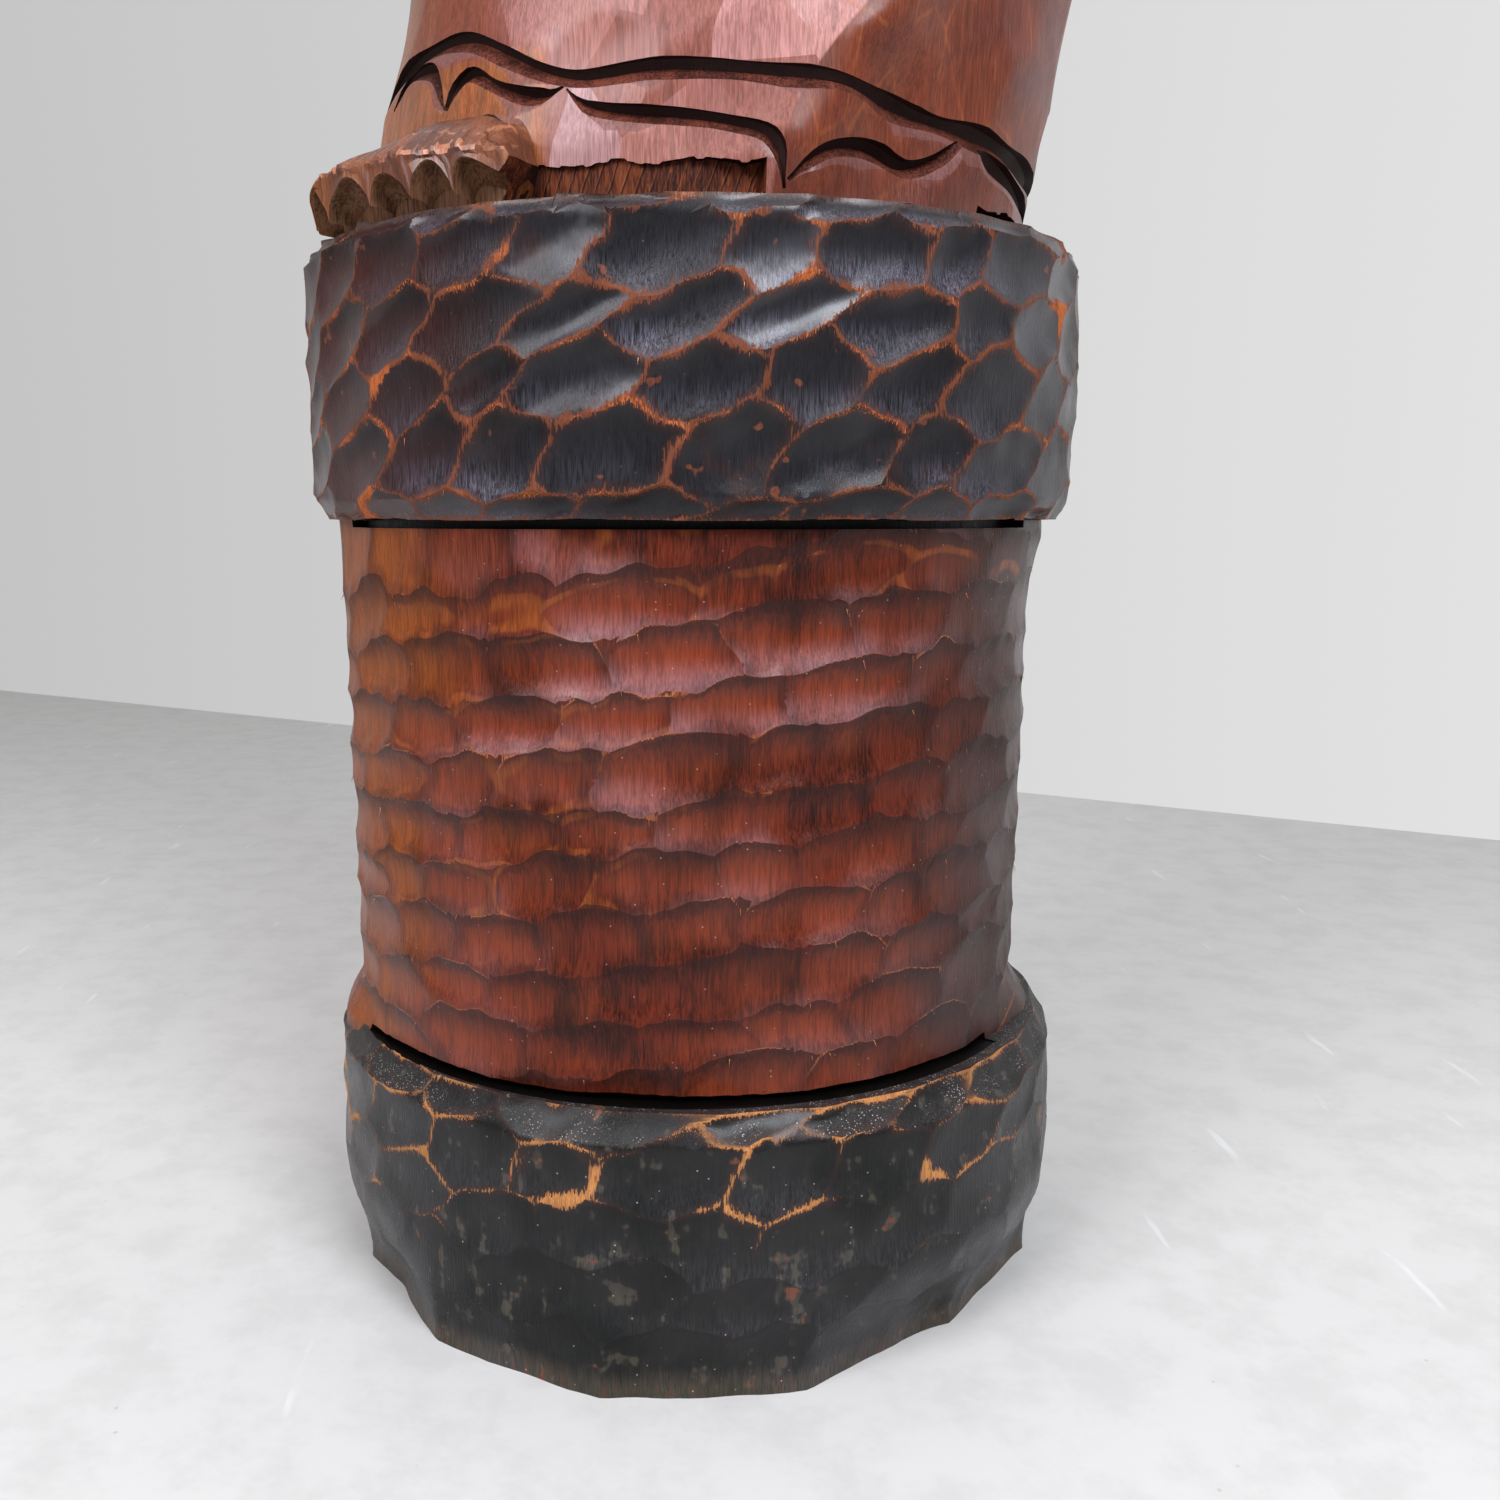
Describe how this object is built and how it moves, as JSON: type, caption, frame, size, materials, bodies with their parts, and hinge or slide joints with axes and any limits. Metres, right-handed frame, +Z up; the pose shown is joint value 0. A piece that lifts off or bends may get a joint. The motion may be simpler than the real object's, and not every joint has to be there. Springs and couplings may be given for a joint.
{
  "type": "totem pole",
  "caption": "Carved and stained wooden totem pole from one log: gouged foot and head bands, a gouged drum, and a calm robed figure.",
  "frame": {"origin": "on the floor, at the log's axis, in the flat underside", "axes": "+Z up along the log, -Y towards the front of the pole, +X to its right as seen from the front"},
  "size_m": [0.3046, 0.3059, 1],
  "materials": {
    "stained_wood": "stained and waxed, satin"
  },
  "bodies": {
    "root": {"totem_pole": "stained_wood"}
  },
  "joints": []
}
